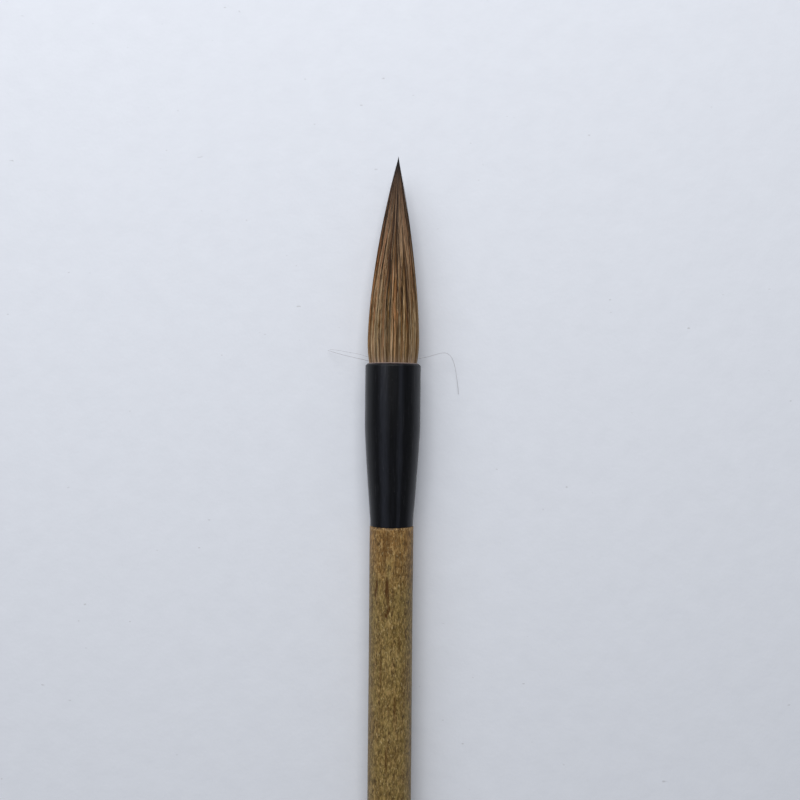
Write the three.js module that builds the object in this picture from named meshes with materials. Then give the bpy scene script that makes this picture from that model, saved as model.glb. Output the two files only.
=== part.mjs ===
// A large calligraphy brush, lying on its side as it lies on a desk. Millimetres, +Z up.
//
// The brush's axis runs along Y, with the hair's tip at the +Y end. The origin is under the
// middle of the brush, on the surface it lies on. A stub of a bamboo stem is the handle. A black
// turned ferrule is glued to its front and holds the hair, and a black end cap closes its back.
//
// The hair has a core of springy hairs inside a coat of finer ones. Each is cut into four lengths,
// hip, belly, throat and point, which turn about one another as links of a chain, so that the tuft
// bends. Every link's core ends in a dome about the next hinge, and the next link has a cup for it.
//
// "Station" is the distance from the ferrule's mouth along the axis: positive towards the tip.

import * as THREE from 'three';

// The whole brush
const TOTAL_LENGTH = 290;
const SIDES = 24; // of every round piece: a flat side faces down, so that the brush lies still
const FIT_GAP = 0.3; // between two pieces that are glued, bound or slide on each other

// Hair
const TUFT_LENGTH = 52.3; // ferrule's mouth to tip
const TUFT_ROOT_RADIUS = 6.05; // where the hair leaves the ferrule
const TUFT_BELLY_RADIUS = 6.55; // the widest place
const TUFT_BELLY_STATION = 5.8;
const TUFT_TAPER_POWER = 1.62; // how full the tuft stays on its way to the tip
const COAT_THICKNESS = 1;
const DOME_INSET = 0.25; // a hinge's dome inside the tuft's outline
const RIM_CLEARANCE_DEG = 3; // between two coats when their hinge is at its limit
const LINKS = [
  { name: 'belly', hingeStation: 3.5, swingDeg: 20 },
  { name: 'throat', hingeStation: 19, swingDeg: 25 },
  { name: 'point', hingeStation: 34, swingDeg: 30 },
];

// Hair root, glued into the ferrule
const ROOT_STATION = -13.3; // the bound hairs' cut ends
const CORE_ROOT_RADIUS = 3.9;
const COAT_ROOT_RADIUS = 5.85;
const ROOT_SPREAD_FROM = -5; // the bound part ends and the bundle starts to widen
const THREAD_DIAMETER = 0.6;
const CORE_BINDING = { station: -11, turns: 3 };
const COAT_BINDING = { station: -8.2, turns: 3 };
const SEAL_THICKNESS = 1.2;
const SEAL_RADIUS = 5.6;

// Ferrule
const FERRULE_LENGTH = 41.5;
const FERRULE_RADIUS = 7;
const FERRULE_REAR_RADIUS = 5.42;
const FERRULE_MOUTH_RADIUS = 6.3; // outside edge of the flat lip
const FERRULE_CHAMFER_LENGTH = 0.6;
const FERRULE_TAPER = { from: -16, to: -39.6, power: 1.2 };
const BORE_RADIUS = 6.15;
const BORE_DEPTH = 15.2;
const DRILL_POINT_DEG = 59; // half angle at the bore's bottom

// Handle
const HANDLE_RADIUS = 5.54;
const HANDLE_BORE_RADIUS = 2.3;
const HANDLE_CHAMFER = 0.25;
const SPIGOT_RADIUS = HANDLE_BORE_RADIUS - FIT_GAP; // on the ferrule and on the end cap
const SPIGOT_LENGTH = 14;
const SPIGOT_CHAMFER = 0.6;

// End cap: as thick as the ferrule, so that the brush lies level
const CAP_LENGTH = 22;
const CAP_RADIUS = FERRULE_RADIUS;
const CAP_FRONT_RADIUS = FERRULE_REAR_RADIUS;
const CAP_FLARE = { from: 2, to: 9 };
const CAP_ROUNDING_LENGTH = 3;
const CAP_BUTT_RADIUS = 5;
const CORD_HOLE_RADIUS = 1;
const CORD_HOLE_DEPTH = 8;

// Places along the axis
const MOUTH_Y = TOTAL_LENGTH / 2 - TUFT_LENGTH;
const FERRULE_REAR_STATION = -FERRULE_LENGTH;
const BUTT_STATION = TUFT_LENGTH - TOTAL_LENGTH;
const CAP_FRONT_STATION = BUTT_STATION + CAP_LENGTH;

const MATERIALS = {
  blackLacquer: finish(0x1b1c20, 0.34),
  bamboo: finish(0x8a7048, 0.42),
  coatHair: finish(0x6b5440, 0.7),
  coreHair: finish(0x4a382a, 0.75),
  linenThread: finish(0xb9a888, 0.85),
  rootResin: finish(0x2b1a10, 0.5),
};

function finish(color, roughness) {
  return new THREE.MeshStandardMaterial({ color, roughness, metalness: 0 });
}

const radians = THREE.MathUtils.degToRad;
const lerp = THREE.MathUtils.lerp;

// The whole numbers from 0 to steps, each divided by steps.
function shares(steps) {
  return Array.from({ length: steps + 1 }, (_, i) => i / steps);
}

// A round piece turned about the brush's axis from an outline of [radius, station] points. The
// radius is the distance to the flats of the piece, and the outline runs with the solid on its
// left. "centre" is the station that the piece's own origin has.
function turned(name, material, outline, centre = 0) {
  const cornerPerFlat = 1 / Math.cos(Math.PI / SIDES);
  const points = outline.map(
    ([radius, station]) => new THREE.Vector2(radius * cornerPerFlat, station - centre),
  );
  const geometry = new THREE.LatheGeometry(points, SIDES, Math.PI / SIDES);
  const mesh = new THREE.Mesh(geometry, material);
  mesh.name = name;
  return mesh;
}

// The same outline, closed on itself: a ring or a tube.
function ring(name, material, outline, centre = 0) {
  return turned(name, material, [...outline, outline[0]], centre);
}

// The tuft's radius at a station: it swells a little above the ferrule, then tapers to a point.
function tuftRadius(station) {
  if (station < TUFT_BELLY_STATION) {
    const toRoot = (TUFT_BELLY_STATION - station) / TUFT_BELLY_STATION;
    return TUFT_BELLY_RADIUS - (TUFT_BELLY_RADIUS - TUFT_ROOT_RADIUS) * toRoot ** 2;
  }
  const toTip = (station - TUFT_BELLY_STATION) / (TUFT_LENGTH - TUFT_BELLY_STATION);
  return TUFT_BELLY_RADIUS * (1 - Math.min(toTip, 1) ** TUFT_TAPER_POWER);
}

// Outline points on the tuft's surface, or a depth under it, from one station to another.
function alongTuft(from, to, depth, steps) {
  return shares(steps).map((share) => {
    const station = lerp(from, to, share);
    return [tuftRadius(station) - depth, station];
  });
}

// Outline points on a ball about a hinge, between two radii from the axis.
function alongBall(centre, ballRadius, fromRadius, toRadius, steps) {
  const from = Math.acos(fromRadius / ballRadius);
  const to = Math.acos(toRadius / ballRadius);
  return shares(steps).map((share) => {
    const angle = lerp(from, to, share);
    return [ballRadius * Math.cos(angle), centre + ballRadius * Math.sin(angle)];
  });
}

function domeRadius(hingeStation) {
  return tuftRadius(hingeStation) - DOME_INSET;
}

// The front of a core, from its flange over the dome to the axis.
function domeOutline(hingeStation) {
  const radius = domeRadius(hingeStation);
  return alongBall(hingeStation, radius, radius, 0, 6);
}

// Where a cone from the hinge, this far above the hinge's plane, comes out of the tuft.
function coneStation(hingeStation, coneAngle) {
  let station = hingeStation;
  for (let i = 0; i < 20; i++) {
    station = hingeStation + tuftRadius(station) * Math.tan(coneAngle);
  }
  return station;
}

// The coat and the core of one link of the tuft, which turns about its hinge. "next" is the link
// in front of it, if it isn't the point.
function hairLink(link, next) {
  const hinge = link.hingeStation;
  const cup = domeRadius(hinge) + FIT_GAP;
  const coneAngle = radians(link.swingDeg + RIM_CLEARANCE_DEG);
  const rim = coneStation(hinge, coneAngle);
  const coreDepth = COAT_THICKNESS + FIT_GAP;
  const coatInside = tuftRadius(rim) - COAT_THICKNESS;
  const coreOutside = coatInside - FIT_GAP;
  const cupUnderCoat = alongBall(hinge, cup, coatInside, cup * Math.cos(coneAngle), 2);
  const cupUnderCore = alongBall(hinge, cup, 0, coreOutside, 5);

  if (next) {
    const front = next.hingeStation;
    const coatFront = front - FIT_GAP;
    return [
      ring(`${link.name}_coat`, MATERIALS.coatHair, [
        ...cupUnderCoat,
        ...alongTuft(rim, coatFront, 0, 4),
        ...alongTuft(coatFront, rim, COAT_THICKNESS, 3).slice(0, -1),
      ], hinge),
      turned(`${link.name}_core`, MATERIALS.coreHair, [
        ...cupUnderCore,
        ...alongTuft(rim, front, coreDepth, 3).slice(1),
        ...domeOutline(front),
      ], hinge),
    ];
  }

  const pocketEnd = TUFT_LENGTH - 9;
  const coreEnd = pocketEnd - 2;
  return [
    turned(`${link.name}_coat`, MATERIALS.coatHair, [
      [0, pocketEnd],
      ...alongTuft(pocketEnd - 0.5, rim, COAT_THICKNESS, 4).slice(0, -1),
      ...cupUnderCoat,
      ...alongTuft(rim, TUFT_LENGTH, 0, 6),
    ], hinge),
    turned(`${link.name}_core`, MATERIALS.coreHair, [
      ...cupUnderCore,
      ...alongTuft(rim, coreEnd, coreDepth, 4).slice(1),
      [0, coreEnd + 0.5],
    ], hinge),
  ];
}

// A groove for a binding, cut into an outline that runs towards the tip.
function grooveOutline(binding, surfaceRadius) {
  const half = (binding.turns * THREAD_DIAMETER) / 2 + FIT_GAP;
  const floor = surfaceRadius - THREAD_DIAMETER - FIT_GAP;
  return [
    [surfaceRadius, binding.station - half],
    [floor, binding.station - half],
    [floor, binding.station + half],
    [surfaceRadius, binding.station + half],
  ];
}

// Turns of thread side by side, drawn as one band with a round back for each turn.
function bindingThread(name, binding, surfaceRadius) {
  const threadRadius = THREAD_DIAMETER / 2;
  const rear = binding.station - binding.turns * threadRadius;
  const backs = [];
  for (let turn = 0; turn < binding.turns; turn++) {
    const middle = rear + threadRadius * (2 * turn + 1);
    for (const angle of [-90, -45, 0, 45].map(radians)) {
      backs.push([
        surfaceRadius - threadRadius + threadRadius * Math.cos(angle),
        middle + threadRadius * Math.sin(angle),
      ]);
    }
  }
  const front = rear + binding.turns * THREAD_DIAMETER;
  const inside = surfaceRadius - THREAD_DIAMETER;
  return ring(name, MATERIALS.linenThread, [
    [inside, rear],
    ...backs,
    [surfaceRadius - threadRadius, front],
    [inside, front],
  ]);
}

// The bound, glued foot of the tuft, which stands still in the ferrule and carries the first hinge.
function hairRoot(firstLink) {
  const hinge = firstLink.hingeStation;
  const coatFront = hinge - FIT_GAP;
  const coreDepth = COAT_THICKNESS + FIT_GAP;
  const lipCleared = FIT_GAP + 0.5;
  return [
    turned('hip_core', MATERIALS.coreHair, [
      [0, ROOT_STATION],
      [CORE_ROOT_RADIUS, ROOT_STATION],
      ...grooveOutline(CORE_BINDING, CORE_ROOT_RADIUS),
      [CORE_ROOT_RADIUS, ROOT_SPREAD_FROM],
      ...alongTuft(0, hinge, coreDepth, 1),
      ...domeOutline(hinge),
    ]),
    ring('hip_coat', MATERIALS.coatHair, [
      [CORE_ROOT_RADIUS + FIT_GAP, ROOT_STATION],
      [COAT_ROOT_RADIUS, ROOT_STATION],
      ...grooveOutline(COAT_BINDING, COAT_ROOT_RADIUS),
      [COAT_ROOT_RADIUS, FIT_GAP],
      ...alongTuft(lipCleared, coatFront, 0, 2),
      ...alongTuft(coatFront, 0, COAT_THICKNESS, 1),
      [CORE_ROOT_RADIUS + FIT_GAP, ROOT_SPREAD_FROM],
    ]),
    bindingThread('core_binding', CORE_BINDING, CORE_ROOT_RADIUS),
    bindingThread('coat_binding', COAT_BINDING, COAT_ROOT_RADIUS),
    rootSeal(),
  ];
}

// The seared and resin-set disc under the cut ends of the hair.
function rootSeal() {
  const front = ROOT_STATION - FIT_GAP;
  const rear = front - SEAL_THICKNESS;
  return turned('root_seal', MATERIALS.rootResin, [
    [0, rear],
    [SEAL_RADIUS - 0.5, rear],
    [SEAL_RADIUS, rear + 0.4],
    [SEAL_RADIUS, front],
    [0, front],
  ]);
}

// The ferrule's outside radius: straight at the mouth, then a long taper down to the handle.
function ferruleRadius(station) {
  const taper = (station - FERRULE_TAPER.from) / (FERRULE_TAPER.to - FERRULE_TAPER.from);
  const share = THREE.MathUtils.clamp(taper, 0, 1) ** FERRULE_TAPER.power;
  return lerp(FERRULE_RADIUS, FERRULE_REAR_RADIUS, share);
}

function ferrule() {
  const rear = FERRULE_REAR_STATION;
  const spigotEnd = rear - SPIGOT_LENGTH;
  const taperOutline = shares(8).map((share) => {
    const station = lerp(FERRULE_TAPER.to, FERRULE_TAPER.from, share);
    return [ferruleRadius(station), station];
  });
  return turned('ferrule', MATERIALS.blackLacquer, [
    [0, spigotEnd],
    [SPIGOT_RADIUS - SPIGOT_CHAMFER, spigotEnd],
    [SPIGOT_RADIUS, spigotEnd + SPIGOT_CHAMFER],
    [SPIGOT_RADIUS, rear],
    [FERRULE_REAR_RADIUS, rear],
    ...taperOutline,
    [FERRULE_RADIUS, -FERRULE_CHAMFER_LENGTH],
    [FERRULE_MOUTH_RADIUS, 0],
    [BORE_RADIUS, 0],
    [BORE_RADIUS, -BORE_DEPTH],
    [0, -BORE_DEPTH - BORE_RADIUS / Math.tan(radians(DRILL_POINT_DEG))],
  ]);
}

function handleTube() {
  const front = FERRULE_REAR_STATION - FIT_GAP;
  const rear = CAP_FRONT_STATION + FIT_GAP;
  return ring('handle_tube', MATERIALS.bamboo, [
    [HANDLE_BORE_RADIUS, rear],
    [HANDLE_RADIUS - HANDLE_CHAMFER, rear],
    [HANDLE_RADIUS, rear + HANDLE_CHAMFER],
    [HANDLE_RADIUS, front - HANDLE_CHAMFER],
    [HANDLE_RADIUS - HANDLE_CHAMFER, front],
    [HANDLE_BORE_RADIUS, front],
  ]);
}

// The end cap, with the blind hole in its butt that a hanging loop is glued into.
function endCap() {
  const front = CAP_FRONT_STATION;
  const spigotEnd = front + SPIGOT_LENGTH;
  const roundingStart = BUTT_STATION + CAP_ROUNDING_LENGTH;
  const rounding = shares(3).map((share) => {
    const angle = lerp(Math.PI / 2, 0, share);
    const fromAxis = lerp(CAP_BUTT_RADIUS, CAP_RADIUS, Math.cos(angle));
    return [fromAxis, roundingStart - CAP_ROUNDING_LENGTH * Math.sin(angle)];
  });
  const flare = shares(5).map((share) => {
    const wave = (1 + Math.cos(Math.PI * share)) / 2;
    return [
      lerp(CAP_FRONT_RADIUS, CAP_RADIUS, wave),
      lerp(front - CAP_FLARE.to, front - CAP_FLARE.from, share),
    ];
  });
  return turned('end_cap', MATERIALS.blackLacquer, [
    [0, BUTT_STATION + CORD_HOLE_DEPTH],
    [CORD_HOLE_RADIUS, BUTT_STATION + CORD_HOLE_DEPTH],
    [CORD_HOLE_RADIUS, BUTT_STATION],
    ...rounding,
    ...flare,
    [CAP_FRONT_RADIUS, front],
    [SPIGOT_RADIUS, front],
    [SPIGOT_RADIUS, spigotEnd - SPIGOT_CHAMFER],
    [SPIGOT_RADIUS - SPIGOT_CHAMFER, spigotEnd],
    [0, spigotEnd],
  ]);
}

// The brush: the links hang on one another, each group's origin at its own hinge.
const brush = new THREE.Group();
brush.position.set(0, MOUTH_Y, FERRULE_RADIUS);
brush.add(ferrule(), handleTube(), endCap(), ...hairRoot(LINKS[0]));

let carrier = brush;
let carrierStation = 0;
LINKS.forEach((link, i) => {
  const group = new THREE.Group();
  group.position.y = link.hingeStation - carrierStation;
  group.add(...hairLink(link, LINKS[i + 1]));
  carrier.add(group);
  carrier = group;
  carrierStation = link.hingeStation;
});

export default brush;
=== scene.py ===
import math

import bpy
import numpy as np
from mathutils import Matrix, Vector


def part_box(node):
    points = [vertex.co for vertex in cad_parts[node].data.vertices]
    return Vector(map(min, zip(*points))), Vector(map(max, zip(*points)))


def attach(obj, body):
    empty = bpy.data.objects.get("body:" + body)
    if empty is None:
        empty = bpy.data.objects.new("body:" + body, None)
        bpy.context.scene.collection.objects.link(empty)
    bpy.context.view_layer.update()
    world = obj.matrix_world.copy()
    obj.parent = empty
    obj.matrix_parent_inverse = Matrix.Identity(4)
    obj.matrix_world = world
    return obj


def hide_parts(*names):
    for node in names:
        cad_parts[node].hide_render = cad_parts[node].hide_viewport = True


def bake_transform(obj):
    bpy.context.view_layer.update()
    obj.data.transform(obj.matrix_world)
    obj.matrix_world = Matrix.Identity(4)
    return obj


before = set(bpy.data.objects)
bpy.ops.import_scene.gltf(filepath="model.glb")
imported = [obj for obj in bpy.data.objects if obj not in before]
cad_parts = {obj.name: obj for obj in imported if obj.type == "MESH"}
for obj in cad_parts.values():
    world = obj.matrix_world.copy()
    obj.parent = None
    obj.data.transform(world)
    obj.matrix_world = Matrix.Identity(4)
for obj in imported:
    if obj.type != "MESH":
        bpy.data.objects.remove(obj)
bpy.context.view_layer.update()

# A large calligraphy brush lying on pale paper, seen from straight above.
#
# The ferrule, handle and end cap are turned surfaces round the brush's axis, which runs along Y.
# The tuft is 2400 separate hairs over a bed painted dark for the shade deep in the tuft. It is made
# in three spans, each of which goes with one of the brush's hinges.
#
# "Station" is the distance from the ferrule's mouth along the axis, positive towards the tip.
# Lengths are in metres, and MM turns millimetres into metres.

MM = 0.001
rng = np.random.default_rng(20)


# ---------------------------------------------------------------- places, from the frame

def box_centre(node):
    low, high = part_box(node)
    return (low + high) / 2


def half_width(node):
    low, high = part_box(node)
    return (high.x - low.x) / 2


FIT_GAP = 0.3 * MM  # the clearance that the frame keeps between glued pieces
AXIS_Z = box_centre("ferrule").z
MOUTH_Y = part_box("ferrule")[1].y
TUFT_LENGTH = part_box("point_coat")[1].y - MOUTH_Y
FERRULE_RADIUS = half_width("ferrule")
JOINT_FORWARD = 0.45 * MM  # the visible joint with the handle stands this far ahead of the CAD's
FERRULE_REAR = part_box("handle_tube")[1].y + FIT_GAP + JOINT_FORWARD - MOUTH_Y
HANDLE_RADIUS = half_width("handle_tube")
CAP_RADIUS = half_width("end_cap")
CAP_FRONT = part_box("handle_tube")[0].y - FIT_GAP - MOUTH_Y
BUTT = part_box("end_cap")[0].y - MOUTH_Y


# ---------------------------------------------------------------- materials

class Material:
    """A node material under construction: each method adds nodes and returns an output socket."""

    def __init__(self, name, **plain):
        self.data = bpy.data.materials.new(name)
        self.data.use_nodes = True
        self.tree = self.data.node_tree
        self.tree.nodes.clear()
        output = self.tree.nodes.new("ShaderNodeOutputMaterial")
        self.shader = self.tree.nodes.new("ShaderNodeBsdfPrincipled")
        self.tree.links.new(self.shader.outputs["BSDF"], output.inputs["Surface"])
        for socket, value in plain.items():
            self.set(socket.replace("_", " "), value)

    def feed(self, socket, value):
        """Links an output into a socket, or sets the socket to a plain value."""
        if isinstance(value, bpy.types.NodeSocket):
            self.tree.links.new(value, socket)
        else:
            socket.default_value = value

    def set(self, socket, value):
        self.feed(self.shader.inputs[socket], value)

    def position(self):
        """A point's place in the row's frame, in millimetres from the axis and the mouth."""
        coordinates = self.tree.nodes.new("ShaderNodeTexCoord").outputs["Object"]
        moved = self.vector("SUBTRACT", coordinates, (0, MOUTH_Y, AXIS_Z))
        return self.vector("SCALE", moved, scale=1 / MM)

    def vector(self, operation, a, b=None, scale=None):
        node = self.tree.nodes.new("ShaderNodeVectorMath")
        node.operation = operation
        self.feed(node.inputs[0], a)
        if b is not None:
            self.feed(node.inputs[1], b)
        if scale is not None:
            node.inputs["Scale"].default_value = scale
        return node.outputs["Vector"]

    def parts(self, vector):
        node = self.tree.nodes.new("ShaderNodeSeparateXYZ")
        self.feed(node.inputs[0], vector)
        return node.outputs

    def joined(self, x, y, z):
        node = self.tree.nodes.new("ShaderNodeCombineXYZ")
        for socket, value in zip(node.inputs, (x, y, z)):
            self.feed(socket, value)
        return node.outputs[0]

    def math(self, operation, a, b=0.0, clamp=False):
        node = self.tree.nodes.new("ShaderNodeMath")
        node.operation = operation
        node.use_clamp = clamp
        self.feed(node.inputs[0], a)
        self.feed(node.inputs[1], b)
        return node.outputs[0]

    def attribute(self, name):
        node = self.tree.nodes.new("ShaderNodeAttribute")
        node.attribute_name = name
        return node.outputs["Fac"]

    def times(self, a, b):
        return self.math("MULTIPLY", a, b)

    def plus(self, a, b):
        return self.math("ADD", a, b)

    def minus(self, a, b):
        return self.math("SUBTRACT", a, b)

    def drawn(self, place, factors):
        """The place to read a pattern at. The larger an axis's factor, the finer the pattern there."""
        return self.vector("MULTIPLY", place, factors)

    def noise(self, vector, scale, detail=3.0, roughness=0.5, distortion=0.0):
        node = self.tree.nodes.new("ShaderNodeTexNoise")
        self.feed(node.inputs["Vector"], vector)
        node.inputs["Scale"].default_value = scale
        node.inputs["Detail"].default_value = detail
        node.inputs["Roughness"].default_value = roughness
        node.inputs["Distortion"].default_value = distortion
        return node.outputs["Fac"]

    def ramp(self, value, stops):
        """Colours or greys at places from 0 to 1."""
        node = self.tree.nodes.new("ShaderNodeValToRGB")
        self.feed(node.inputs["Fac"], value)
        elements = node.color_ramp.elements
        while len(elements) < len(stops):
            elements.new(1.0)
        for element, (place, colour) in zip(elements, stops):
            element.position = place
            grey = isinstance(colour, (int, float))
            element.color = (colour, colour, colour, 1) if grey else (*colour, 1)
        return node.outputs["Color"]

    def stretch(self, value, low, high, out_low=0.0, out_high=1.0):
        node = self.tree.nodes.new("ShaderNodeMapRange")
        for place, number in enumerate((value, low, high, out_low, out_high)):
            self.feed(node.inputs[place], number)
        return node.outputs["Result"]

    def mix(self, share, a, b, blend="MIX"):
        node = self.tree.nodes.new("ShaderNodeMix")
        node.data_type = "RGBA"
        node.blend_type = blend
        self.feed(node.inputs["Factor"], share)
        for name, value in (("A", a), ("B", b)):
            socket = next(s for s in node.inputs if s.name == name and s.type == "RGBA")
            self.feed(socket, (*value, 1) if isinstance(value, tuple) else value)
        return next(s for s in node.outputs if s.type == "RGBA")

    def bump(self, height, depth, below=None):
        """A normal from a height of 0 to 1 that stands for this depth in millimetres."""
        node = self.tree.nodes.new("ShaderNodeBump")
        node.inputs["Distance"].default_value = depth * MM
        self.feed(node.inputs["Height"], height)
        if below is not None:
            self.feed(node.inputs["Normal"], below)
        return node.outputs["Normal"]


def colour(red, green, blue):
    """A colour as a screen shows it, from 0 to 255, as the linear light that a shader takes."""
    return tuple(((c / 255 + 0.055) / 1.055) ** 2.4 if c > 10 else c / 3295 for c in (red, green, blue))


def around_and_along(m):
    """Two lengths in mm: round the surface from its top line, and along it from the mouth."""
    x, y, z = m.parts(m.position())
    around = m.times(m.math("ARCTAN2", x, z), HANDLE_RADIUS / MM)
    return around, m.times(y, -1.0)


# Bands of painted reflection along the lacquered wood, lighter grey and broken by the grain:
# degrees round from the top, half width in degrees, and how strong each is.
PAINTED_REFLECTION_BANDS = [
    (-18, 9, 1.0),
    (17, 5, 0.8),
    (58, 9, 0.4),
    (104, 7, 0.8),
    (163, 10, 0.9),
    (-76, 8, 0.6),
    (-131, 9, 1.0),
]
BAND_WANDER = 12.0  # degrees


def painted_reflection_bands(m, place):
    """0 between the painted reflection bands and up to 1 in them. They fade at their edges and wander a
    little.
    """
    x, y, z = m.parts(place)
    degrees = m.times(m.math("ARCTAN2", x, z), 180 / math.pi)
    drift = m.noise(m.drawn(place, (0.5, 0.05, 0.5)), 1.0)
    wander = m.times(m.minus(drift, 0.5), BAND_WANDER)
    around = m.plus(degrees, wander)
    total = 0.0
    for centre, half, strength in PAINTED_REFLECTION_BANDS:
        away = m.math("ABSOLUTE", m.minus(around, centre))
        total = m.math("MAXIMUM", total, m.stretch(away, half * 1.5, half * 0.3, 0.0, strength))
    return total


def black_lacquer():
    """Turned, lacquered wood: black and satin, with grain showing through, painted lighter bands of
    reflection, fine scratches, dust, and a painted pale highlight along the edge of the mouth."""
    m = Material("black_lacquer", Specular_IOR_Level=0.22)
    place = m.position()
    y = m.parts(place)["Y"]
    lathe = m.noise(m.drawn(place, (0.15, 9.0, 0.15)), 1.0, 4.0, 0.6)
    grain = m.noise(m.drawn(place, (2.4, 0.1, 2.4)), 1.0, 3.0, 0.6)
    cloud = m.noise(place, 0.22, 3.0)
    specks = m.stretch(m.noise(place, 3.1, 2.0, 0.6), 0.69, 0.76)
    scratch = m.noise(m.drawn(place, (3.2, 0.14, 3.2)), 1.0, 2.0, 0.7, 0.4)
    scratches = m.stretch(scratch, 0.62, 0.7)
    black = m.mix(m.stretch(grain, 0.35, 0.65), colour(3, 4, 7), colour(10, 11, 16))
    # Painted reflection: lighter grey bands along the ferrule and cap, broken up by the grain.
    reflection_bands = m.times(painted_reflection_bands(m, place), m.stretch(grain, 0.3, 0.6, 0.6, 1.0))
    black = m.mix(reflection_bands, black, colour(31, 33, 40))
    dusty = m.mix(m.times(specks, 0.12), black, colour(120, 118, 116))
    marked = m.mix(m.times(scratches, 0.07), dusty, colour(110, 110, 116))
    # A painted pale highlight runs round the edge of the mouth, with a ragged edge.
    ragged = m.plus(y, m.times(m.noise(place, 1.3), 0.16))
    painted_lip_highlight = m.times(m.stretch(ragged, -0.16, -0.04), 0.65)
    m.set("Base Color", m.mix(painted_lip_highlight, marked, colour(156, 138, 134)))
    rough = m.plus(m.stretch(cloud, 0.3, 0.7, 0.26, 0.34), m.times(specks, 0.2))
    # The lacquer is duller where it turns in at the mouth.
    rough = m.plus(rough, m.stretch(y, -0.9, -0.5, 0.0, 0.16))
    m.set("Roughness", m.plus(rough, m.times(lathe, 0.06)))
    lathe_and_grain = m.bump(grain, 0.012, m.bump(lathe, 0.008))
    m.set("Normal", m.bump(scratches, -0.006, lathe_and_grain))
    return m.data


# Marks on the bamboo's skin: mm behind the ferrule, mm round from the top, half length in mm, half
# width in mm, and how dark each is. The first twelve follow the photograph, and the rest are made up.
BAMBOO_MARKS = [
    (5.8, -1.7, 5.6, 0.5, 0.6),
    (2.2, -1.0, 1.6, 0.35, 0.5),
    (3.9, 3.8, 0.8, 0.62, 0.6),
    (15.0, -0.95, 3.1, 0.58, 1.0),
    (18.1, -0.6, 1.7, 0.32, 0.9),
    (14.4, -3.8, 2.0, 0.4, 1.0),
    (16.3, -4.25, 1.8, 0.34, 0.9),
    (19.9, -0.15, 0.9, 0.3, 1.0),
    (20.8, -0.6, 0.9, 0.38, 1.0),
    (21.7, -1.1, 0.7, 0.42, 1.0),
    (11.8, 3.1, 0.16, 2.0, 0.35),
    (9.9, 2.6, 2.2, 0.3, 0.35),
    (29.0, 2.2, 3.2, 0.4, 0.5),
    (36.0, -2.4, 5.0, 0.35, 0.55),
    (44.0, 1.2, 3.0, 0.5, 0.6),
    (58.0, -0.8, 4.5, 0.4, 0.5),
    (81.0, 2.4, 6.0, 0.3, 0.6),
    (104.0, -2.0, 5.0, 0.4, 0.5),
    (131.0, 1.0, 7.0, 0.35, 0.55),
]


def bamboo_marks(m, around, along, wander):
    """0 on clean skin and up to 1 in the dark marks. Each is an oval with soft, wandering edges."""
    around = m.plus(around, wander)
    total = 0.0
    for behind, side, half_long, half_wide, dark in BAMBOO_MARKS:
        centre = behind - FERRULE_REAR / MM
        dy = m.math("DIVIDE", m.minus(along, centre), half_long)
        dx = m.math("DIVIDE", m.minus(around, side), half_wide)
        squares = m.plus(m.times(dx, dx), m.times(dy, dy))
        mark = m.stretch(m.math("SQRT", squares), 1.2, 0.55, 0.0, dark)
        total = m.math("MAXIMUM", total, mark)
    return total


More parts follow.
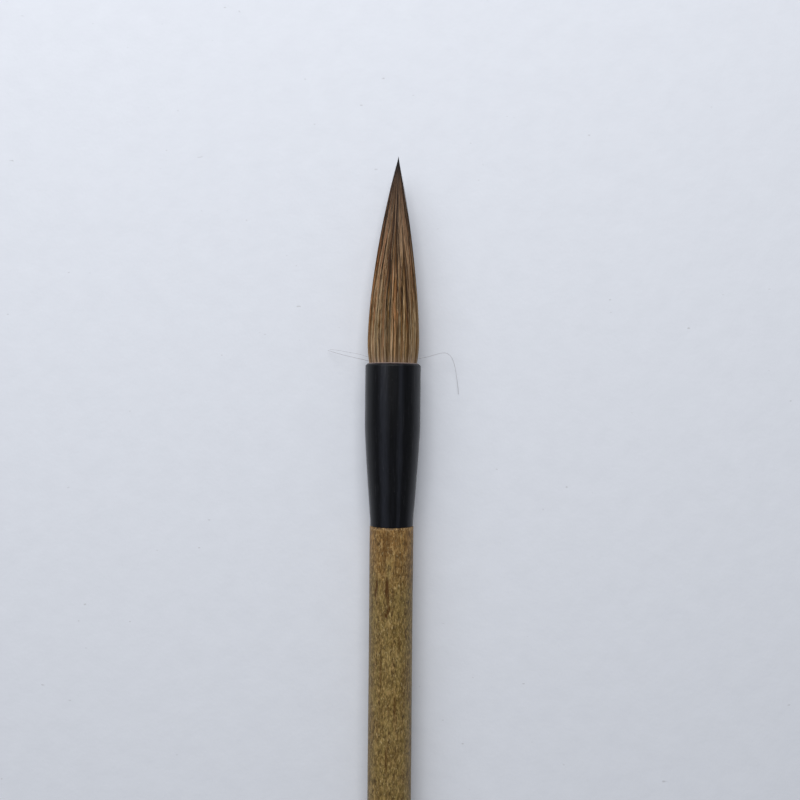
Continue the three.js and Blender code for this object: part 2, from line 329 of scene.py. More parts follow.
def bamboo():
    """Mottled bamboo skin: short dashes of fibre, blotches, dark streaks and a waxy polish."""
    m = Material("bamboo_skin", Specular_IOR_Level=0.3)
    around, along = around_and_along(m)
    behind = m.plus(along, FERRULE_REAR / MM)
    place = m.position()
    x, y, z = m.parts(place)
    # Each pattern is read in the solid round the axis, drawn out along it, so it has no seam.
    stem = m.drawn(place, (1.0, 0.12, 1.0))
    patch = m.noise(m.drawn(place, (1.0, 0.4, 1.0)), 0.32, 3.0, 0.55, 0.6)
    fibre = m.noise(m.drawn(place, (1.0, 0.05, 1.0)), 4.0, 3.0, 0.6)
    dash = m.noise(m.drawn(place, (1.0, 0.34, 1.0)), 2.3, 4.0, 0.66, 0.7)
    fleck = m.noise(m.joined(z, m.times(y, 0.42), x), 3.0, 2.0, 0.6, 0.6)
    streak = m.noise(stem, 1.25, 4.0, 0.62, 0.35)
    blotch = m.noise(m.drawn(place, (1.0, 0.45, 1.0)), 0.75, 4.0, 0.65, 0.8)
    chip = m.noise(m.drawn(place, (1.0, 0.2, 1.0)), 1.5, 3.0, 0.7)
    golden = m.mix(m.stretch(patch, 0.35, 0.65), colour(134, 99, 51), colour(150, 113, 61))
    olive = m.mix(m.stretch(patch, 0.35, 0.65), colour(120, 99, 51), colour(134, 114, 65))
    uneven = m.plus(behind, m.times(m.minus(patch, 0.5), 24.0))
    skin = m.mix(m.stretch(uneven, 4.0, 16.0), golden, olive)
    skin = m.mix(m.stretch(streak, 0.44, 0.62, 0.0, 0.6), skin, colour(88, 62, 30))
    skin = m.mix(m.stretch(blotch, 0.56, 0.68, 0.0, 0.5), skin, colour(88, 62, 30))
    skin = m.mix(m.stretch(dash, 0.49, 0.64, 0.0, 0.82), skin, colour(60, 42, 16))
    skin = m.mix(m.stretch(dash, 0.48, 0.34, 0.0, 0.62), skin, colour(180, 150, 98))
    skin = m.mix(m.stretch(fleck, 0.57, 0.72, 0.0, 0.65), skin, colour(184, 162, 116))
    skin = m.mix(m.stretch(fibre, 0.5, 0.75, 0.0, 0.4), skin, colour(82, 62, 36))
    wander = m.times(m.minus(m.noise(stem, 0.9, 3.0), 0.5), 0.9)
    marks = bamboo_marks(m, around, along, wander)
    broken = m.times(marks, m.stretch(dash, 0.35, 0.55, 0.85, 1.0))
    skin = m.mix(broken, skin, colour(72, 43, 1))
    # Frayed fibres stand out pale along the shoulder against the ferrule.
    frayed = m.stretch(m.minus(behind, m.times(fibre, 2.4)), -0.3, -0.9)
    frayed = m.times(frayed, m.stretch(fleck, 0.46, 0.6, 0.0, 0.75))
    skin = m.mix(frayed, skin, colour(180, 150, 106))
    # The cut edge itself is chipped, and painted shade darkens it in the chips, along the joint with the
    # ferrule.
    chip_shade = m.times(m.stretch(chip, 0.4, 0.58), 0.85)
    skin = m.mix(m.times(m.stretch(behind, 0.55, 0.2), chip_shade), skin, colour(58, 38, 18))
    m.set("Base Color", skin)
    m.set("Roughness", m.stretch(patch, 0.3, 0.7, 0.42, 0.54))
    m.set("Normal", m.bump(broken, -0.09, m.bump(dash, 0.05, m.bump(fibre, 0.03))))
    return m.data


MIDDLE_TONE = 0.46  # hairs of this tone keep it all along


def hair_material(name, brightness):
    """Brown hair: tan at the root, near black at the tip, each hair with a tone of its own. The
    tones differ more towards the tip."""
    m = Material(name, Specular_IOR_Level=0.15)
    along, tone, warmth, strand = (m.attribute(label) for label in ("along", "tone", "warmth", "strand"))
    golden = m.ramp(along, [
        (0.0, colour(190, 158, 118)), (0.035, colour(178, 140, 90)), (0.16, colour(168, 126, 70)),
        (0.45, colour(145, 103, 52)), (0.7, colour(111, 78, 44)), (0.86, colour(79, 57, 35)),
        (0.94, colour(46, 34, 27)), (0.972, colour(10, 9, 8)),
    ])
    ashen = m.ramp(along, [
        (0.0, colour(200, 174, 152)), (0.035, colour(178, 154, 124)), (0.16, colour(164, 142, 110)),
        (0.45, colour(137, 113, 87)), (0.7, colour(109, 88, 68)), (0.86, colour(81, 62, 47)),
        (0.94, colour(46, 36, 31)), (0.972, colour(10, 9, 9)),
    ])
    paleness = m.plus(m.times(tone, 0.6), m.times(strand, 0.4))
    body = m.mix(m.stretch(paleness, 0.3, 0.6), golden, ashen)
    reddish = m.mix(1.0, body, colour(238, 202, 180), "MULTIPLY")
    warmth = m.times(m.stretch(warmth, 0.35, 0.9), m.stretch(along, 0.0, 0.2, 0.35, 1.0))
    body = m.mix(warmth, body, reddish)
    contrast = m.stretch(along, 0.0, 0.6, 0.55, 2.1)
    contrast = m.times(contrast, m.stretch(along, 0.55, 0.8, 1.0, 1.8))
    apart = m.times(m.minus(tone, MIDDLE_TONE), contrast)
    tone = m.math("ADD", apart, MIDDLE_TONE, clamp=True)
    shade = m.stretch(m.math("POWER", tone, 1.5), 0.0, 1.0, 0.1 * brightness, 1.5 * brightness)
    on_hair = m.joined(m.times(strand, 60.0), m.times(along, 20.0), warmth)
    lengthwise = m.noise(on_hair, 1.0, 2.0)
    shade = m.times(shade, m.stretch(lengthwise, 0.3, 0.7, 0.7, 1.3))
    m.set("Base Color", m.mix(1.0, body, m.joined(shade, shade, shade), "MULTIPLY"))
    m.set("Roughness", m.stretch(tone, 0.0, 1.0, 0.5, 0.38))
    return m.data


def hair_bed_material():
    """The hair in the depth of the tuft, dull, painted dark for the shade among the hairs, and painted
    darker still in its grooves.
    """
    m = Material("hair_bed", Specular_IOR_Level=0.1)
    along, tone = m.attribute("along"), m.attribute("tone")
    # Painted shade: the whole bed is dark, and darker in its grooves.
    body = m.ramp(along, [
        (0.0, colour(72, 50, 28)), (0.5, colour(56, 38, 20)), (0.88, colour(36, 26, 18)),
        (0.97, colour(12, 10, 9)),
    ])
    m.set("Base Color", m.mix(m.stretch(tone, 0.0, 1.0, 0.0, 0.6), body, colour(28, 20, 14)))
    m.set("Roughness", m.stretch(tone, 0.0, 1.0, 0.7, 0.85))
    return m.data


def linen():
    """Twisted linen thread: slanting strands and a little fuzz."""
    m = Material("linen_thread", Specular_IOR_Level=0.3, Sheen_Weight=0.2)
    place = m.position()
    twist = m.tree.nodes.new("ShaderNodeTexWave")
    m.feed(twist.inputs["Vector"], m.drawn(place, (1.0, 1.6, 1.0)))
    twist.inputs["Scale"].default_value = 1.4
    twist.inputs["Distortion"].default_value = 2.0
    strands = twist.outputs["Fac"]
    fuzz = m.noise(place, 6.0, 3.0)
    m.set("Base Color", m.mix(strands, colour(150, 132, 100), colour(198, 180, 146)))
    m.set("Roughness", m.stretch(fuzz, 0.3, 0.7, 0.75, 0.95))
    m.set("Normal", m.bump(strands, 0.08))
    return m.data


def resin():
    """The seared root: dark amber resin with burnt hair ends in it."""
    m = Material("root_resin", Specular_IOR_Level=0.5)
    place = m.position()
    ends = m.noise(m.drawn(place, (5.0, 1.0, 5.0)), 1.0, 3.0, 0.7)
    m.set("Base Color", m.mix(m.stretch(ends, 0.4, 0.65), colour(44, 24, 12), colour(22, 15, 11)))
    m.set("Roughness", m.stretch(ends, 0.3, 0.7, 0.3, 0.6))
    m.set("Normal", m.bump(ends, 0.1))
    return m.data


# ---------------------------------------------------------------- turned pieces

def softened(corners, steps=5):
    """An outline of (radius, station, softness) corners, each rounded over its softness."""
    points = []
    for i, (radius, station, softness) in enumerate(corners):
        here = np.array((radius, station))
        if softness == 0 or i in (0, len(corners) - 1):
            points.append(tuple(here))
            continue
        arms = []
        for near in (corners[i - 1], corners[i + 1]):
            arm = np.array(near[:2]) - here
            length = np.linalg.norm(arm)
            arms.append(here + arm / length * min(softness, length / 2))
        for share in np.linspace(0, 1, steps + 1):
            curve = (1 - share) ** 2 * arms[0] + 2 * share * (1 - share) * here + share**2 * arms[1]
            points.append(tuple(curve))
    return points


ON_AXIS = 1e-9  # a point with no more radius than this is on the axis


def turned(name, outline, sides, radial=None):
    """A closed surface turned round the axis from (radius, station) points that start and end on
    the axis, or a closed ring if they don't. radial(angle, station) is added to the radius."""
    outline = np.array(outline, float)
    closed_ring = outline[0, 0] > ON_AXIS
    angles = np.linspace(0, 2 * np.pi, sides, endpoint=False) + np.pi  # the seam is underneath
    rings = len(outline)
    radius = np.repeat(outline[:, :1], sides, 1)
    station = np.repeat(outline[:, 1:], sides, 1)
    if radial is not None:
        radius = radius + radial(angles[None, :], station) * (radius > ON_AXIS)
    co = np.stack([
        radius * np.sin(angles), station + MOUTH_Y, AXIS_Z + radius * np.cos(angles),
    ], -1)
    # run is the length of outline up to each ring, as a share of the whole.
    run = np.concatenate([[0], np.cumsum(np.linalg.norm(np.diff(outline, axis=0), axis=1))])
    run /= run[-1] + (np.linalg.norm(outline[0] - outline[-1]) if closed_ring else 0)
    verts, index = [], np.zeros((rings, sides), int)
    for i in range(rings):
        on_axis = outline[i, 0] <= ON_AXIS
        index[i] = len(verts) if on_axis else len(verts) + np.arange(sides)
        verts.extend([co[i, 0]] if on_axis else co[i])
    faces, uvs = [], []
    for i in range(rings if closed_ring else rings - 1):
        j = (i + 1) % rings
        v0, v1 = run[i], (1.0 if j == 0 else run[j])
        for k in range(sides):
            n = (k + 1) % sides
            corners = [
                (index[i, k], k, v0), (index[i, n], k + 1, v0),
                (index[j, n], k + 1, v1), (index[j, k], k, v1),
            ]
            kept = [c for a, c in enumerate(corners) if c[0] != corners[a - 1][0]]
            faces.append([c[0] for c in kept])
            uvs.extend((c[1] / sides, c[2]) for c in kept)
    mesh = bpy.data.meshes.new(name)
    mesh.from_pydata(verts, [], faces)
    layer = mesh.uv_layers.new(name="OFBake")
    layer.data.foreach_set("uv", np.array(uvs, np.float32).ravel())
    mesh.shade_smooth()
    mesh.set_sharp_from_angle(angle=math.radians(38))
    piece = bpy.data.objects.new(name, mesh)
    bpy.context.scene.collection.objects.link(piece)
    return piece


def dressed(piece, material, slot, body, *nodes):
    """Gives a finished piece its material, and puts it on its body for its CAD nodes. The slot is not
    used.
    """
    piece.data.materials.append(material)
    if nodes:
        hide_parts(*nodes)
    if body:
        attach(piece, body)
    return piece


MOUTH_RADIUS = 6.3 * MM
BORE_RADIUS = 6.15 * MM
BORE_DEPTH = 15.2 * MM
FERRULE_REAR_RADIUS = 5.42 * MM
SPIGOT_RADIUS = 2.0 * MM
TAPER_FROM, TAPER_TO = -16 * MM, -39.6 * MM  # stations


def ferrule_radius(station):
    share = min(max((station - TAPER_FROM) / (TAPER_TO - TAPER_FROM), 0), 1)
    return FERRULE_RADIUS + (FERRULE_REAR_RADIUS - FERRULE_RADIUS) * share**1.2


def make_ferrule(material):
    """The outline runs from the spigot's end out to the rear edge, up the taper to the mouth, and
    down the bore to the drill's point."""
    spigot_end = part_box("ferrule")[0].y - MOUTH_Y
    taper = [(ferrule_radius(s), s, 0) for s in np.linspace(TAPER_TO, TAPER_FROM, 26)]
    corners = [
        (0, spigot_end, 0),
        (SPIGOT_RADIUS, spigot_end, 0.6 * MM),
        (SPIGOT_RADIUS, FERRULE_REAR, 0.1 * MM),
        (FERRULE_REAR_RADIUS, FERRULE_REAR, 0.25 * MM),
        *taper,
        (FERRULE_RADIUS, -8 * MM, 0),
        (FERRULE_RADIUS, -0.62 * MM, 0.16 * MM),
        (MOUTH_RADIUS, 0, 0.1 * MM),
        (BORE_RADIUS, 0, 0.06 * MM),
        (BORE_RADIUS, -BORE_DEPTH, 0),
        (0, -BORE_DEPTH - 3.7 * MM, 0),
    ]
    piece = turned("ferrule_body", softened(corners), 192)
    return dressed(piece, material, "black_lacquer", "holder", "ferrule")


SHOULDER = 0.45 * MM  # the chipped front edge of the stem


def handle_waves(angle, station):
    """The stem isn't a perfect cylinder: it is a little fluted, its thickness drifts, and its front
    edge is chipped."""
    flutes = 0.012 * np.sin(7 * angle + station / MM * 0.02) + 0.008 * np.sin(17 * angle + 1.3)
    drift = 0.02 * np.sin(station / MM * 0.11) + 0.012 * np.sin(2 * angle + station / MM * 0.045)
    shoulder = np.clip((station - FERRULE_REAR) / SHOULDER + 1, 0, 1)
    chips = 2 + np.sin(23 * angle + 1) + np.sin(31 * angle + 2)
    # 0.045 mm is taken off all over, so that the waves' crests come out at about the CAD's radius.
    return (flutes + drift - 0.045 - 0.035 * chips * shoulder) * MM


def make_handle(material):
    """A tube whose ends stand 0.02 mm clear of the ferrule and the cap."""
    bore = 2.3 * MM
    front, rear = FERRULE_REAR - 0.02 * MM, CAP_FRONT + 0.02 * MM
    # Rings are closer together on the first 64 mm, which is most of what the camera sees.
    near = np.arange(front - 0.5 * MM, front - 64 * MM, -0.4 * MM)
    far = np.linspace(near[-1] - 0.8 * MM, rear + 0.5 * MM, 130)
    skin = [(HANDLE_RADIUS, s, 0) for s in [*near, *far]][::-1]
    corners = [
        (bore, rear, 0), (HANDLE_RADIUS, rear, 0.18 * MM), *skin,
        (HANDLE_RADIUS, front, 0.18 * MM), (bore, front, 0),
    ]
    piece = turned("handle_stem", softened(corners), 160, handle_waves)
    return dressed(piece, material, "bamboo", "holder", "handle_tube")


def make_end_cap(material):
    """The outline runs from the loop's blind hole over the rounded butt, down the flare to the
    stem's thickness, and along the spigot."""
    spigot_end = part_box("end_cap")[1].y - MOUTH_Y
    hole, hole_depth = 1 * MM, 8 * MM
    flare_from, flare_to = CAP_FRONT - 9 * MM, CAP_FRONT - 2 * MM
    flare = []
    for share in np.linspace(0, 1, 17):
        wave = (1 + math.cos(math.pi * share)) / 2
        radius = FERRULE_REAR_RADIUS + (CAP_RADIUS - FERRULE_REAR_RADIUS) * wave
        flare.append((radius, flare_from + (flare_to - flare_from) * share, 0))
    flat_radius, butt_height = 5 * MM, 3 * MM
    rounding = []
    for angle in np.linspace(math.pi / 2, 0, 13):
        radius = flat_radius + (CAP_RADIUS - flat_radius) * math.cos(angle)
        rounding.append((radius, BUTT + butt_height * (1 - math.sin(angle)), 0))
    corners = [
        (0, BUTT + hole_depth, 0), (hole, BUTT + hole_depth, 0), (hole, BUTT, 0.3 * MM),
        *rounding, *flare,
        (FERRULE_REAR_RADIUS, CAP_FRONT, 0.2 * MM), (SPIGOT_RADIUS, CAP_FRONT, 0.1 * MM),
        (SPIGOT_RADIUS, spigot_end, 0.6 * MM), (0, spigot_end, 0),
    ]
    piece = turned("end_cap_body", softened(corners), 160)
    return dressed(piece, material, "black_lacquer", "holder", "end_cap")


# ---------------------------------------------------------------- the tuft

ROOT_RADIUS = 6.05 * MM
BELLY_RADIUS = 6.55 * MM
BELLY_STATION = 5.8 * MM
BORE_HAIR_RADIUS = 5.95 * MM
TIP_LEAN = 0.9 * MM  # the combed tip stands this far off the axis, to the right

# Each span of hair goes with one hinge: its name, the bodies behind and ahead of the hinge, its
# first and last stations, the hinge, and where round the hinge the bend starts and ends.
SPANS = [
    ("hip", "holder", "belly", -9 * MM, 11 * MM, "belly_bend", -3.0 * MM, 6.5 * MM),
    ("waist", "belly", "throat", 11 * MM, 26.5 * MM, "throat_bend", -7.5 * MM, 7.0 * MM),
    ("tip", "throat", "point", 26.5 * MM, TUFT_LENGTH, "point_bend", -7.0 * MM, 7.5 * MM),
]


def tuft_radius(station):
    """The tuft's radius: it swells a little above the mouth, then tapers in a full curve."""
    below = ROOT_RADIUS + (BELLY_RADIUS - ROOT_RADIUS) * (
        1 - np.clip((BELLY_STATION - station) / BELLY_STATION, 0, 1) ** 2
    )
    share = np.clip((station - BELLY_STATION) / (TUFT_LENGTH - BELLY_STATION), 0, 1)
    above = BELLY_RADIUS * (1 - share**1.62)
    inside = np.clip(-station / (0.5 * MM), 0, 1)
    outside = np.where(station < BELLY_STATION, below, above)
    return outside + (BORE_HAIR_RADIUS - outside) * inside


def lean(station):
    """How far the tuft's middle stands off the axis, to the right."""
    return TIP_LEAN * np.clip(station / TUFT_LENGTH, 0, 1) ** 2


def smoothly(value, low, high):
    """0 up to low, 1 from high on, and an even curve between them."""
    share = np.clip((value - low) / (high - low), 0, 1)
    return share * share * (3 - 2 * share)


# Streaks on the tuft's upper side: mm right of the axis, the stations in mm between which it runs,
# half width in mm, how much darker and how much redder its hairs are.
STREAKS = [
    (-0.4, 23, 38, 0.30, 0.30, 0.0),
    (2.1, 13, 24, 0.20, 0.55, 0.0),
    (1.1, 9, 24, 0.24, -0.22, -0.2),
    (1.5, 28, 36, 0.20, -0.25, -0.3),
    (-1.3, 18, 28, 0.50, 0.20, 0.3),
    (-2.8, 21, 31, 0.35, 0.05, 0.6),
    (-4.4, 14, 22, 0.30, -0.22, -0.2),
    (3.4, 8, 18, 0.35, 0.12, 0.5),
    (5.3, 1, 15, 0.50, -0.12, -0.6),
    (-2.2, 0, 5, 0.30, -0.20, 0.3),
    (-0.3, 9, 17, 0.18, 0.35, 0.1),
    (-3.6, 5, 12, 0.18, 0.35, 0.0),
]


LOCKS = 34  # locks round the tuft, lighter and darker by turns
HAIR_RADIUS = 0.066 * MM
SHORT_SHARE = 0.45  # of the hairs; the others reach the tip, or nearly


class Hairs:
    """Hairs that follow the tuft from the root, each to its own end, in clumps. A hair's offset is
    its place across its clump, from -1 to 1. Its depth is its share of the tuft's radius."""

    def __init__(self, count, clumps, deepest, shallowest, groove):
        self.count = count
        self.groove = groove
        # Clumps and each hair's place in its own.
        self.clump_at = (np.arange(clumps) + rng.uniform(-0.35, 0.35, clumps)) * 2 * np.pi / clumps
        clump_tone = rng.beta(0.8, 0.8, clumps)
        clump_warmth = rng.uniform(0, 1, clumps) ** 2
        self.half_clump = np.pi / clumps
        self.clump = rng.integers(0, clumps, count)
        self.offset = rng.uniform(-1, 1, count)
        self.depth = rng.uniform(deepest, shallowest, count)
        # Tone and warmth come partly from the clump and partly from the hair itself. The locks'
        # tones are kept apart, because they only come in away from the root.
        # Painted shade: hairs at the edge of a clump, which lie lower in the groove beside it, are made
        # darker.
        edge = self.offset**2
        tone = 0.42 * clump_tone[self.clump] + 0.62 * rng.beta(1.2, 1.2, count) - 0.16 * edge
        self.tone = np.clip(tone, 0.01, 0.99)
        self.strand = rng.uniform(0, 1, count)
        lock_at = np.linspace(0, 2 * np.pi, LOCKS, endpoint=False)
        home = self.clump_at[self.clump] + self.offset * self.half_clump
        lock_tone = rng.uniform(0.05, 0.46, LOCKS) * np.where(np.arange(LOCKS) % 2, 1, -1)
        self.lock = np.interp(np.mod(home, 2 * np.pi), lock_at, lock_tone, period=2 * np.pi)
        self.warmth = np.clip(clump_warmth[self.clump] + rng.normal(0, 0.15, count), 0, 1)
        # Thickness, length and waves.
        self.thick = HAIR_RADIUS * rng.uniform(0.7, 1.5, count)
        short = rng.uniform(0.55, 0.97, count)
        long = 1 - np.abs(rng.normal(0, 0.035, count))
        self.end = np.where(rng.uniform(0, 1, count) < SHORT_SHARE, short, long) * TUFT_LENGTH
        self.waves = [
            (rng.uniform(12, 30, count) * MM, rng.uniform(0, 2 * np.pi, count)) for _ in range(2)
        ]
        # The hair's column in the baked texture, in order round the tuft.
        self.column = np.empty(count)
        self.column[np.argsort(home)] = np.linspace(0, 1, count)
        # How high a hair lifts off and from which station, and how far it drifts round the tuft.
        self.lift = np.zeros(count)
        self.lift_from = np.zeros(count)
        self.drift = rng.normal(0, 0.05, count)

    def angle(self, station):
        """Hairs spread evenly over their clump at the root, draw together towards the tip, wander
        and drift from their places, and gather towards the upper and lower sides."""
        pull = 1.05 - 0.35 * smoothly(station, 3 * MM, 20 * MM)
        pull = pull - 0.2 * smoothly(station, 20 * MM, 48 * MM)
        (length, phase), (length_2, phase_2) = self.waves
        wander = np.sin(2 * np.pi * station / length + phase)
        wander = wander + 0.6 * np.sin(np.pi * station / length_2 + phase_2)
        angle = (
            self.clump_at[self.clump] + self.offset * self.half_clump * pull
            + wander * 0.035 * smoothly(station, 0, 12 * MM)
            + self.drift * smoothly(station, 12 * MM, 44 * MM)
        )
        gather = 0.3 * smoothly(station, 8 * MM, 44 * MM)
        return angle - gather * np.sin(2 * angle)

    def tone_and_warmth(self, station, angle):
        """Each hair's own tone and warmth, changed by its lock away from the root, darkened on the
        flanks by painted shade, and changed where it passes through a streak."""
        # Painted shade: hairs on the tuft's flanks are made darker away from the root.
        painted_flank_shade = np.abs(np.sin(angle)) ** 6
        tone = self.tone + (self.lock - 0.2 * painted_flank_shade) * smoothly(station, 14 * MM, 32 * MM)
        warmth = self.warmth.copy()
        across = np.where(np.cos(angle) > 0, tuft_radius(station) * np.sin(angle), 1.0)
        for middle, low, high, half, darker, warmer in STREAKS:
            reach = np.exp(-(((across / MM - middle) / half) ** 2))
            reach = reach * smoothly(station, (low - 3) * MM, (low + 3) * MM)
            reach = reach * (1 - smoothly(station, (high - 4) * MM, (high + 4) * MM))
            tone = tone - darker * reach
            warmth = warmth + warmer * reach
        return np.clip(tone, 0.01, 0.99), np.clip(warmth, 0, 1)

    def radius(self, station):
        """How far from the axis: under the tuft's outline, lower between two clumps, and higher on
        a hair that lifts off."""
        outline = tuft_radius(station)
        dip = self.groove * self.offset**2 * smoothly(station, 1 * MM, 9 * MM)
        dip = dip * np.clip(outline / (4 * MM), 0, 1)
        rise = self.lift * np.clip((station - self.lift_from) / (14 * MM), 0, 1.3) ** 2
        return np.maximum(outline * self.depth - dip - self.thick + rise, 0)

    def centre(self, station):
        """The angle round the axis, and the point at the middle of the hair."""
        angle, radius = self.angle(station), self.radius(station)
        return angle, np.stack([
            radius * np.sin(angle) + lean(station), station + MOUTH_Y, AXIS_Z + radius * np.cos(angle),
        ], -1)


def hair_mesh(name, hairs, low, high, rings, sides=5):
    """The stretch of these hairs from one station to another, as closed tapered tubes."""
    kept = hairs.end > low + 0.5 * MM
    ends = np.minimum(hairs.end, high)
    shares = np.linspace(0, 1, rings)
    centres, angles, thick, station_of, tones, warmths = [], [], [], [], [], []
    for share in shares:
        station = low + (ends - low) * share
        angle, centre = hairs.centre(station)
        to_end = np.clip((hairs.end - station) / (14 * MM), 0.0, 1)
        slim = hairs.thick * (0.22 + 0.78 * to_end**0.7)
        slim = slim * (1 - 0.3 * smoothly(station, 30 * MM, TUFT_LENGTH))
        centres.append(centre[kept])
        angles.append(angle[kept])
        thick.append(slim[kept])
        station_of.append(station[kept])
        tone, warmth = hairs.tone_and_warmth(station, angle)
        tones.append(tone[kept])
        warmths.append(warmth[kept])
    centres, angles = np.stack(centres, 1), np.stack(angles, 1)
    thick, station_of = np.stack(thick, 1), np.stack(station_of, 1)
    count = centres.shape[0]
    out = np.stack([np.sin(angles), np.zeros_like(angles), np.cos(angles)], -1)
    side = np.stack([np.cos(angles), np.zeros_like(angles), -np.sin(angles)], -1)
    turn = np.linspace(0, 2 * np.pi, sides, endpoint=False)
    co = centres[:, :, None] + thick[:, :, None, None] * (
        out[:, :, None] * np.cos(turn)[:, None] + side[:, :, None] * np.sin(turn)[:, None]
    )
    vertex = np.arange(count * rings * sides).reshape(count, rings, sides)
    following = np.roll(vertex, -1, 2)
    quads = np.stack([vertex[:, :-1], following[:, :-1], following[:, 1:], vertex[:, 1:]], -1)
    quads = quads.reshape(-1, 4)
    caps = np.concatenate([vertex[:, 0][:, ::-1], vertex[:, -1]])
    column = np.repeat(hairs.column[kept], rings * sides).reshape(vertex.shape)
    fraction = np.broadcast_to(shares[None, :, None], vertex.shape)
    return mesh_from_arrays(name, co.reshape(-1, 3), quads, caps, {
        "along": np.repeat(np.clip(station_of / TUFT_LENGTH, 0, 1).ravel(), sides),
        "tone": np.repeat(np.stack(tones, 1).ravel(), sides),
        "warmth": np.repeat(np.stack(warmths, 1).ravel(), sides),
        "strand": np.repeat(hairs.strand[kept], rings * sides),
    }, bake_uv(column, fraction, quads, caps, sides))


COLUMN_WIDTH = 3 / 256  # as a share of the baked texture's width


def bake_uv(column, fraction, quads, caps, sides):
    """Neighbouring hairs share a column of the baked texture, which runs along them."""
    column, fraction = column.ravel(), fraction.ravel()
    corner_side = np.array([0.0, 1.0, 1.0, 0.0])
    u = column[quads] * (1 - COLUMN_WIDTH) + corner_side * COLUMN_WIDTH
    v = fraction[quads]
    cap_u = column[caps] * (1 - COLUMN_WIDTH) + np.linspace(0, COLUMN_WIDTH, sides)
    cap_v = fraction[caps] * 0.998 + np.abs(np.linspace(-0.002, 0.002, sides))
    along_hair, on_caps = np.stack([u, v], -1), np.stack([cap_u, cap_v], -1)
    return np.concatenate([along_hair.reshape(-1, 2), on_caps.reshape(-1, 2)])


def mesh_from_arrays(name, co, quads, caps, attributes, uv):
    """A mesh with smooth quads and flat end caps, point attributes and a bake layout. The caps'
    edges are sharp, so that the shading beside them stays even."""
    mesh = bpy.data.meshes.new(name)
    mesh.vertices.add(len(co))
    mesh.vertices.foreach_set("co", co.astype(np.float32).ravel())
    corners = np.concatenate([quads.ravel(), caps.ravel()]).astype(np.int32)
    sizes = np.concatenate([np.full(len(quads), quads.shape[1]), np.full(len(caps), caps.shape[1])])
    starts = np.concatenate([[0], np.cumsum(sizes)[:-1]])
    mesh.loops.add(len(corners))
    mesh.loops.foreach_set("vertex_index", corners)
    mesh.polygons.add(len(sizes))
    mesh.polygons.foreach_set("loop_start", starts.astype(np.int32))
    mesh.polygons.foreach_set("use_smooth", np.arange(len(sizes)) < len(quads))
    for label, values in attributes.items():
        layer = mesh.attributes.new(label, "FLOAT", "POINT")
        layer.data.foreach_set("value", values.astype(np.float32))
    layer = mesh.uv_layers.new(name="OFBake")
    layer.data.foreach_set("uv", uv.astype(np.float32).ravel())
    mesh.update(calc_edges=True)
    edge_of_corner = np.empty(len(corners), np.int32)
    mesh.loops.foreach_get("edge_index", edge_of_corner)
    sharp = np.zeros(len(mesh.edges), bool)
    sharp[edge_of_corner[quads.size:]] = True
    mesh.attributes.new("sharp_edge", "BOOLEAN", "EDGE").data.foreach_set("value", sharp)
    mesh.validate()
    piece = bpy.data.objects.new(name, mesh)
    bpy.context.scene.collection.objects.link(piece)
    return piece


def hair_bed(name, low, high):
    """The mass of hair under the surface hairs, painted dark for their shade, with fine grooves along
    it.
    """
    rings, sides = 24, 180
    stations = np.linspace(low, high, rings)
    angles = np.linspace(0, 2 * np.pi, sides, endpoint=False)
    grooves = 0.05 * MM * (np.sin(43 * angles) + np.sin(71 * angles + 1))
    radius = np.maximum(tuft_radius(stations)[:, None] * 0.88 + grooves - 0.1 * MM, 0.02 * MM)
    co = np.stack([
        radius * np.sin(angles) + lean(stations)[:, None],
        np.repeat(stations[:, None] + MOUTH_Y, sides, 1),
        AXIS_Z + radius * np.cos(angles),
    ], -1).reshape(-1, 3)
    vertex = np.arange(rings * sides).reshape(rings, sides)
    following = np.roll(vertex, -1, 1)
    quads = np.stack([vertex[:-1], following[:-1], following[1:], vertex[1:]], -1).reshape(-1, 4)
    caps = np.stack([vertex[0][::-1], vertex[-1]])
    # The bed's tone is painted groove shade: 1 at the bottom of its grooves, 0 on the ridges.
    tone = np.tile(0.5 - 0.5 * np.sin(43 * angles), rings)
    u = np.tile(np.arange(sides) / sides, rings)
    v = np.repeat(np.linspace(0, 1, rings), sides)
    quad_uv = np.stack([u[quads], v[quads]], -1)
    wrap = quad_uv[:, :, 0]
    wrap[(wrap.max(1) - wrap.min(1) > 0.5)[:, None] & (wrap < 0.5)] += 1.0
    cap_uv = np.stack([u[caps], v[caps]], -1).reshape(-1, 2)
    return mesh_from_arrays(name, co, quads, caps, {
        "along": np.repeat(np.clip(stations / TUFT_LENGTH, 0, 1), sides), "tone": tone,
    }, np.concatenate([quad_uv.reshape(-1, 2), cap_uv]))


# Rings along each span of a hair. With 13, a piece keeps under the 200,000 faces above which the
# export thins it out.
HAIR_RINGS = 13


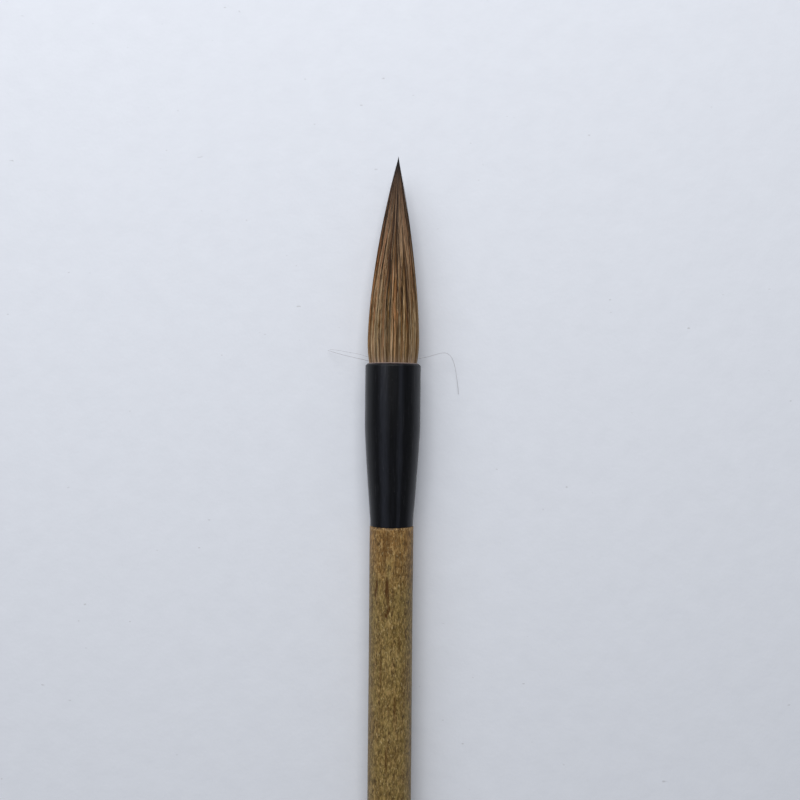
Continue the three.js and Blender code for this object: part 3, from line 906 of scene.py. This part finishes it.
def make_tuft():
    """Coat hairs over core hairs over the bed, each in three spans, one for each hinge."""
    coat = Hairs(1500, clumps=128, deepest=0.93, shallowest=1.0, groove=0.24 * MM)
    core = Hairs(900, clumps=60, deepest=0.84, shallowest=0.95, groove=0.2 * MM)
    # Eight hairs of the coat stand a little off the rest.
    flyaway = rng.choice(coat.count, 8, replace=False)
    coat.lift[flyaway] = rng.uniform(0.03, 0.1, len(flyaway)) * MM
    coat.lift_from[flyaway] = rng.uniform(4, 34, len(flyaway)) * MM
    coat_look, core_look = hair_material("coat_hair", 1.0), hair_material("core_hair", 0.8)
    bed_look = hair_bed_material()
    stands_for = {"hip": ("hip", "belly"), "waist": ("throat",), "tip": ("point",)}
    for span, rear_body, front_body, low, high, joint, before, after in SPANS:
        coat_hairs = hair_mesh(f"{span}_coat_hairs", coat, low, high, HAIR_RINGS)
        core_hairs = hair_mesh(f"{span}_core_hairs", core, low, high, HAIR_RINGS)
        bed = hair_bed(f"{span}_hair_bed", low, high)
        pieces = [
            (coat_hairs, coat_look, "coat_hair", "coat"),
            (core_hairs, core_look, "core_hair", "core"),
            (bed, bed_look, "core_hair", None),
        ]
        for piece, look, slot, layer in pieces:
            nodes = [f"{part}_{layer}" for part in stands_for[span]] if layer else []
            dressed(piece, look, slot, None, *nodes)
            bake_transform(piece)


# ---------------------------------------------------------------- loose hairs at the mouth

# Hairs that have worked loose at the mouth: thickness in mm, then points in mm: right of the axis,
# ahead of the mouth, above the paper.
LOOSE_HAIRS = [
    (0.064, [
        (-4.6, 0.1, 9.4), (-6.4, 0.55, 8.9), (-9.4, 1.25, 6.9),
        (-12.2, 1.95, 4.6), (-14.8, 2.7, 2.4), (-16.9, 3.4, 0.8),
    ]),
    (0.044, [
        (-5.0, 0.9, 9.2), (-6.7, 1.7, 8.6), (-9.2, 2.4, 7.0),
        (-11.8, 2.8, 5.2), (-14.2, 3.4, 3.4), (-16.4, 3.6, 1.8),
    ]),
    (0.064, [
        (4.6, 0.8, 9.4), (6.4, 1.1, 8.9), (9.0, 1.7, 7.6), (11.4, 2.6, 6.0),
        (13.6, 3.1, 4.2), (15.3, 1.9, 2.6), (16.3, -1.4, 1.2), (17.0, -7.6, 0.3),
    ]),
]


def make_loose_hairs(look):
    """Thin tubes along smooth curves. They stay with the ferrule when the tuft bends."""
    for number, (thickness, points) in enumerate(LOOSE_HAIRS, 1):
        curve = bpy.data.curves.new(f"loose_hair_{number}", "CURVE")
        curve.dimensions = "3D"
        curve.resolution_u = 10
        curve.bevel_depth = thickness / 2 * MM
        curve.bevel_resolution = 2
        curve.use_fill_caps = True
        spline = curve.splines.new("NURBS")
        spline.points.add(len(points) - 1)
        for point, (x, y, z) in zip(spline.points, points):
            point.co = (x * MM, MOUTH_Y + y * MM, z * MM, 1)
        spline.use_endpoint_u = True
        spline.order_u = 4
        curve.materials.append(look)
        piece = bpy.data.objects.new(curve.name, curve)
        bpy.context.scene.collection.objects.link(piece)
        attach(piece, "holder")


def loose_hair_material():
    """A thin hair against pale paper, greyer than the tuft."""
    m = Material("loose_hair", Specular_IOR_Level=0.4, Roughness=0.5)
    shade = m.noise(m.position(), 0.8, 2.0)
    m.set("Base Color", m.mix(shade, colour(104, 98, 98), colour(140, 134, 134)))
    return m.data


# ---------------------------------------------------------------- floor, light and camera

def make_floor():
    """Pale paper, a little cockled, with a few dark flecks in it."""
    half = 3.0
    corners = [(-half, -half, 0), (half, -half, 0), (half, half, 0), (-half, half, 0)]
    mesh = bpy.data.meshes.new("paper_floor")
    mesh.from_pydata(corners, [], [(0, 1, 2, 3)])
    floor = bpy.data.objects.new("paper_floor", mesh)
    bpy.context.scene.collection.objects.link(floor)
    m = Material("pale_paper", Specular_IOR_Level=0.2, Roughness=0.9)
    place = m.position()
    grain = m.noise(place, 1.1, 3.0, 0.6)
    cockle = m.noise(place, 0.16, 3.0, 0.6)
    fleck = m.stretch(m.noise(m.drawn(place, (0.5, 0.8, 1.0)), 0.9, 1.0), 0.79, 0.84)
    paper = m.mix(cockle, colour(217, 221, 230), colour(223, 227, 236))
    m.set("Base Color", m.mix(m.times(fleck, 0.35), paper, colour(150, 148, 146)))
    m.set("Normal", m.bump(cockle, 0.12, m.bump(grain, 0.015)))
    mesh.materials.append(m.data)


def area_light(name, place, target, size, watts, tint):
    """A rectangular lamp that faces its target."""
    data = bpy.data.lights.new(name, "AREA")
    data.shape = "RECTANGLE"
    data.size, data.size_y = size
    data.energy = watts
    data.color = tint
    light = bpy.data.objects.new(name, data)
    light.location = place
    light.rotation_euler = (Vector(target) - Vector(place)).to_track_quat("-Z", "Y").to_euler()
    bpy.context.scene.collection.objects.link(light)


def make_light():
    """Soft studio light: a large lamp overhead and beyond the tip, a weaker one on the left, and a
    pale room."""
    middle = (0, MOUTH_Y, 0)
    area_light("overhead", (-0.02, MOUTH_Y + 0.44, 0.58), middle, (0.52, 0.36), 4.2, (1.0, 0.99, 0.98))
    area_light("left_window", (-0.42, MOUTH_Y + 0.30, 0.50), middle, (0.3, 0.5), 1.25, (0.97, 0.98, 1.0))
    world = bpy.data.worlds.new("room")
    world.use_nodes = True
    background = world.node_tree.nodes["Background"]
    background.inputs["Color"].default_value = (0.94, 0.97, 1.0, 1)
    background.inputs["Strength"].default_value = 0.236
    bpy.context.scene.world = world


def make_camera():
    """The photographer's camera: straight above a point 9 mm behind the ferrule's mouth and a
    quarter of a metre up. It is turned by half a degree, as the brush is in the photograph."""
    data = bpy.data.cameras.new("camera")
    data.sensor_width = 36
    data.lens = 44.84
    data.clip_start = 0.01
    camera = bpy.data.objects.new("camera", data)
    camera.location = (1.83 * MM, MOUTH_Y - 9.26 * MM, AXIS_Z + 252 * MM)
    camera.rotation_euler = (0, 0, math.radians(0.53))
    bpy.context.scene.collection.objects.link(camera)
    bpy.context.scene.camera = camera


# ---------------------------------------------------------------- making it

make_camera()
lacquer = black_lacquer()
make_ferrule(lacquer)
make_handle(bamboo())
make_end_cap(lacquer)
make_tuft()
make_loose_hairs(loose_hair_material())
for node, look in (("core_binding", linen()), ("coat_binding", linen()), ("root_seal", resin())):
    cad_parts[node].data.materials.clear()
    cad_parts[node].data.materials.append(look)
make_floor()
make_light()
bpy.context.scene.view_settings.view_transform = "Standard"
